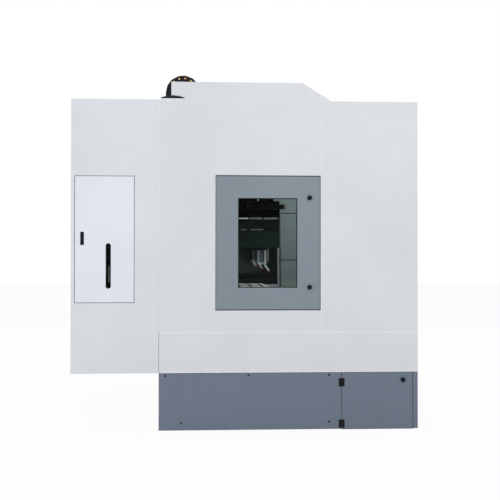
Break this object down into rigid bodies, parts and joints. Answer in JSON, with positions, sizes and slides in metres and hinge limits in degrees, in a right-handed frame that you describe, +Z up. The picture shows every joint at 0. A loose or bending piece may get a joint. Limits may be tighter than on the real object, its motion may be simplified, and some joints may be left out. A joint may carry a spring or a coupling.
{
  "type": "vertical machining center",
  "caption": "Enclosed vertical milling machine with a raised roof hood, glazed side door, grey base and a rear control cabinet",
  "frame": {"origin": "on the floor under the middle of the machine's outline", "axes": "+Z up, +Y from the front doors to the rear cabinet, +X to the operator's right; the side with the glazed access door faces -X"},
  "size_m": [2.319, 2.6, 2.6683],
  "materials": {
    "panel_white": "fine satin powder coat",
    "door_grey": "satin powder coat",
    "base_grey": "satin powder coat",
    "cabinet_white": "fine satin powder coat",
    "frame_grey": "painted tube",
    "casting": "painted casting",
    "machined": "ground face",
    "guideway": "ground steel",
    "screw_steel": "ground steel",
    "cover_steel": "bent stainless sheet",
    "chamber_paint": "painted splash sheet",
    "head_paint": "painted cover",
    "motor_black": "painted housing",
    "nose_steel": "polished steel",
    "nozzle_orange": "moulded plastic",
    "magazine_steel": "painted plate",
    "arm_steel": "blackened steel",
    "black_plastic": "moulded plastic",
    "clear_glass": "clear safety glass",
    "tank_steel": "painted tank",
    "equipment": "painted enclosures",
    "console_grey": "painted console",
    "stop_red": "moulded plastic",
    "start_green": "moulded plastic",
    "hold_yellow": "moulded plastic",
    "feet_steel": "forged steel",
    "lock_black": "moulded plastic"
  },
  "bodies": {
    "root": {"bed_casting": "casting", "levelling_feet": "feet_steel", "column_casting": "casting", "guide_rails": "guideway", "feed_drive_units": "motor_black", "enclosure_frame": "frame_grey", "left_side_panel": "panel_white", "left_outer_panels": "panel_white", "right_side_panels": "panel_white", "roof_panels": "panel_white", "front_fascia": "panel_white", "base_skirt_panels": "base_grey", "cabinet_shell": "cabinet_white", "cabinet_equipment": "equipment", "splash_guard": "chamber_paint", "coolant_tank": "tank_steel", "cable_chain": "black_plastic", "operator_panel": "console_grey", "magazine_housing": "casting", "tool_change_arm": "arm_steel", "side_door_hinges": "feet_steel"},
    "cross_slide": {"saddle": "casting", "x_guide_rails": "guideway", "x_drive_unit": "motor_black", "y_guide_blocks": "guideway", "saddle_covers": "cover_steel"},
    "work_table": {"table": "machined", "x_guide_blocks": "guideway", "table_covers": "cover_steel"},
    "head": {"spindle_head": "casting", "head_cover": "head_paint", "spindle_motor": "motor_black", "spindle_cartridge": "nose_steel", "coolant_nozzles": "nozzle_orange", "z_guide_blocks": "guideway"},
    "spindle": {"spindle_shaft": "nose_steel"},
    "x_screw": {"x_ball_screw": "screw_steel"},
    "y_screw": {"y_ball_screw": "screw_steel"},
    "z_screw": {"z_ball_screw": "screw_steel"},
    "tool_magazine": {"magazine_disc": "magazine_steel", "tool_pots": "black_plastic"},
    "inner_cover": {"x_cover_inner": "cover_steel"},
    "outer_cover": {"x_cover_outer": "cover_steel"},
    "front_cover": {"y_cover_front": "cover_steel"},
    "sliding_door": {"front_door": "door_grey", "front_door_window": "clear_glass"},
    "access_door": {"side_door": "door_grey", "side_door_window": "clear_glass"},
    "upper_latch": {"side_door_lock_upper": "black_plastic"},
    "lower_latch": {"side_door_lock_lower": "black_plastic"},
    "service_door": {"tank_door": "base_grey"},
    "service_latch": {"tank_door_knob": "black_plastic"},
    "cabinet_door": {"cabinet_side_door": "cabinet_white", "oil_sight_window": "clear_glass"},
    "lock_flap": {"cabinet_side_lock": "lock_black"},
    "stop_button": {"estop_button": "stop_red"},
    "start_button": {"cycle_start_button": "start_green"},
    "hold_button": {"feed_hold_button": "hold_yellow"},
    "override_dial": {"feed_override_knob": "black_plastic"},
    "handwheel": {"mpg_handwheel": "black_plastic"}
  },
  "joints": [
    {"name": "y_axis", "type": "slide", "parent": "root", "child": "cross_slide", "axis": [0, 1, 0], "range_m": [-0.45, 0.05]},
    {"name": "x_axis", "type": "slide", "parent": "cross_slide", "child": "work_table", "axis": [1, 0, 0], "range_m": [-0.34, 0.34]},
    {"name": "z_axis", "type": "slide", "parent": "root", "child": "head", "axis": [0, 0, 1], "range_m": [-0.09, 0.52]},
    {"name": "spindle_spin", "type": "hinge", "parent": "head", "child": "spindle", "pos_m": [0, -0.18, 1.35], "axis": [0, 0, 1], "continuous": true},
    {"name": "y_screw_spin", "type": "hinge", "parent": "root", "child": "y_screw", "pos_m": [0, -0.2, 0.59], "axis": [0, 1, 0], "range_deg": [-16210, 1810]},
    {"name": "x_screw_spin", "type": "hinge", "parent": "cross_slide", "child": "x_screw", "pos_m": [0, 0.02, 0.835], "axis": [1, 0, 0], "range_deg": [-12250, 12250]},
    {"name": "z_screw_spin", "type": "hinge", "parent": "root", "child": "z_screw", "pos_m": [0, 0.36, 1.8], "axis": [0, 0, 1], "range_deg": [-3250, 18730]},
    {"name": "inner_cover_slide", "type": "slide", "parent": "cross_slide", "child": "inner_cover", "axis": [1, 0, 0], "range_m": [-0.2267, 0.2267]},
    {"name": "outer_cover_slide", "type": "slide", "parent": "cross_slide", "child": "outer_cover", "axis": [1, 0, 0], "range_m": [-0.1134, 0.1134]},
    {"name": "front_cover_slide", "type": "slide", "parent": "root", "child": "front_cover", "axis": [0, 1, 0], "range_m": [-0.225, 0.025]},
    {"name": "magazine_spin", "type": "hinge", "parent": "root", "child": "tool_magazine", "pos_m": [-0.44, 0.02, 2.09], "axis": [1, 0, 0], "continuous": true},
    {"name": "front_door_slide", "type": "slide", "parent": "root", "child": "sliding_door", "axis": [1, 0, 0], "range_m": [-0.7, 0]},
    {"name": "side_door_swing", "type": "hinge", "parent": "root", "child": "access_door", "pos_m": [-1.138, 0.253, 1.4], "axis": [0, 0, -1], "range_deg": [0, 100]},
    {"name": "upper_latch_turn", "type": "hinge", "parent": "access_door", "child": "upper_latch", "pos_m": [-1.13, -0.478, 1.741], "axis": [-1, 0, 0], "range_deg": [0, 90]},
    {"name": "lower_latch_turn", "type": "hinge", "parent": "access_door", "child": "lower_latch", "pos_m": [-1.13, -0.478, 1.069], "axis": [1, 0, 0], "range_deg": [0, 90]},
    {"name": "tank_door_swing", "type": "hinge", "parent": "root", "child": "service_door", "pos_m": [-1.157, -0.72, 0.2], "axis": [0, 0, -1], "range_deg": [0, 110]},
    {"name": "tank_latch_turn", "type": "hinge", "parent": "service_door", "child": "service_latch", "pos_m": [-1.13, -1.186, 0.371], "axis": [-1, 0, 0], "range_deg": [0, 90]},
    {"name": "cabinet_door_swing", "type": "hinge", "parent": "root", "child": "cabinet_door", "pos_m": [-1.138, 0.807, 1.4], "axis": [0, 0, 1], "range_deg": [0, 100]},
    {"name": "lock_flap_lift", "type": "hinge", "parent": "cabinet_door", "child": "lock_flap", "pos_m": [-1.144, 1.217, 1.4755], "axis": [0, 1, 0], "range_deg": [0, 35]},
    {"name": "stop_push", "type": "slide", "parent": "root", "child": "stop_button", "axis": [0, 1, 0], "range_m": [0, 0.005], "stiffness_N_per_m": 800},
    {"name": "start_push", "type": "slide", "parent": "root", "child": "start_button", "axis": [0, 1, 0], "range_m": [0, 0.005], "stiffness_N_per_m": 500},
    {"name": "hold_push", "type": "slide", "parent": "root", "child": "hold_button", "axis": [0, 1, 0], "range_m": [0, 0.005], "stiffness_N_per_m": 500},
    {"name": "override_turn", "type": "hinge", "parent": "root", "child": "override_dial", "pos_m": [0.88, -1.258, 1.05], "axis": [0, 1, 0], "range_deg": [-135, 135]},
    {"name": "handwheel_turn", "type": "hinge", "parent": "root", "child": "handwheel", "pos_m": [0.615, -1.258, 1.05], "axis": [0, 1, 0], "continuous": true}
  ],
  "couplings": [
    {"joint": "y_screw_spin", "follows": "y_axis", "rad_per_m": 628.32},
    {"joint": "x_screw_spin", "follows": "x_axis", "rad_per_m": 628.32},
    {"joint": "z_screw_spin", "follows": "z_axis", "rad_per_m": 628.32},
    {"joint": "inner_cover_slide", "follows": "x_axis", "ratio": 0.6667},
    {"joint": "outer_cover_slide", "follows": "x_axis", "ratio": 0.3333},
    {"joint": "front_cover_slide", "follows": "y_axis", "ratio": 0.5}
  ]
}
